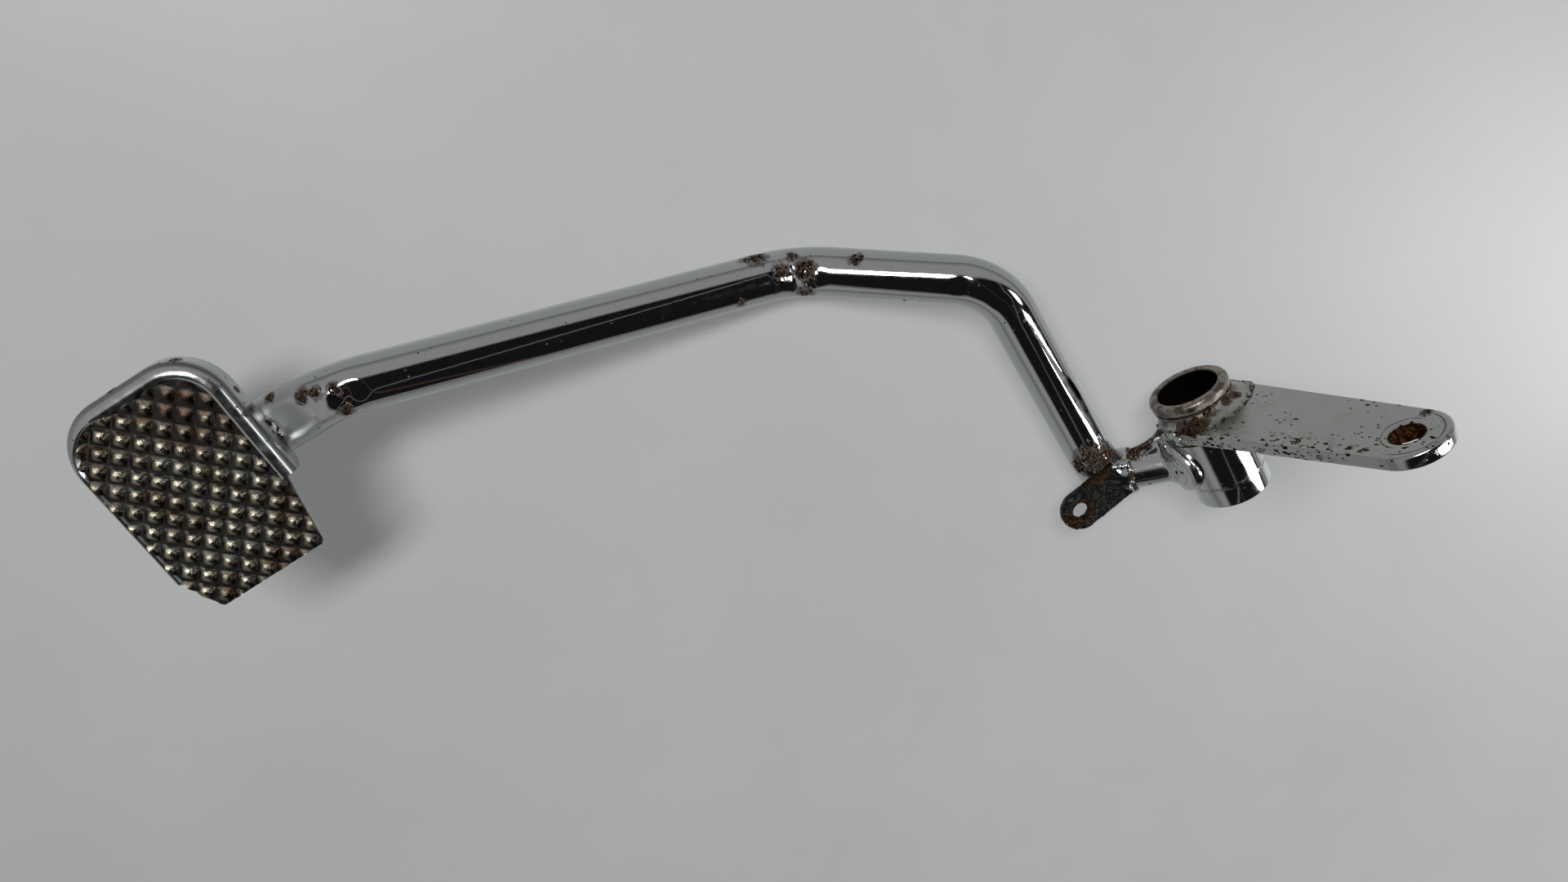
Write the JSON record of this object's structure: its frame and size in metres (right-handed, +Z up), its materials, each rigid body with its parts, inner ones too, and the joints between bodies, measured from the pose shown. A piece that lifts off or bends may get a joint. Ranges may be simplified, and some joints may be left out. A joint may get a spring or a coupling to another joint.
{
  "type": "motorbike rear brake pedal",
  "caption": "Bent tube brake pedal with a pivot sleeve and rod lever at one end and a ribbed foot pad at the other.",
  "frame": {"origin": "centre of the pivot bore, on its axis at half the sleeve's length", "axes": "+X forward along the bike, +Y inboard along the pivot axis, +Z up"},
  "size_m": [0.2807, 0.1913, 0.1059],
  "materials": {
    "chrome": "worn chrome plate with fine pits and a little rust",
    "satin_steel": "dull pitted plate with scratches",
    "rusted_steel": "dark rust crust",
    "pad_chrome": "chrome plate, tarnished brown on the tread"
  },
  "bodies": {
    "root": {"pivot_sleeve": "chrome", "rod_lever": "satin_steel", "arm_tube": "chrome", "arm_stub": "chrome", "spring_tab": "rusted_steel", "foot_pad": "pad_chrome", "lever_weld": "satin_steel", "lever_back_weld": "satin_steel", "stub_weld": "chrome", "seam_weld": "rusted_steel", "pad_weld": "rusted_steel"}
  },
  "joints": []
}
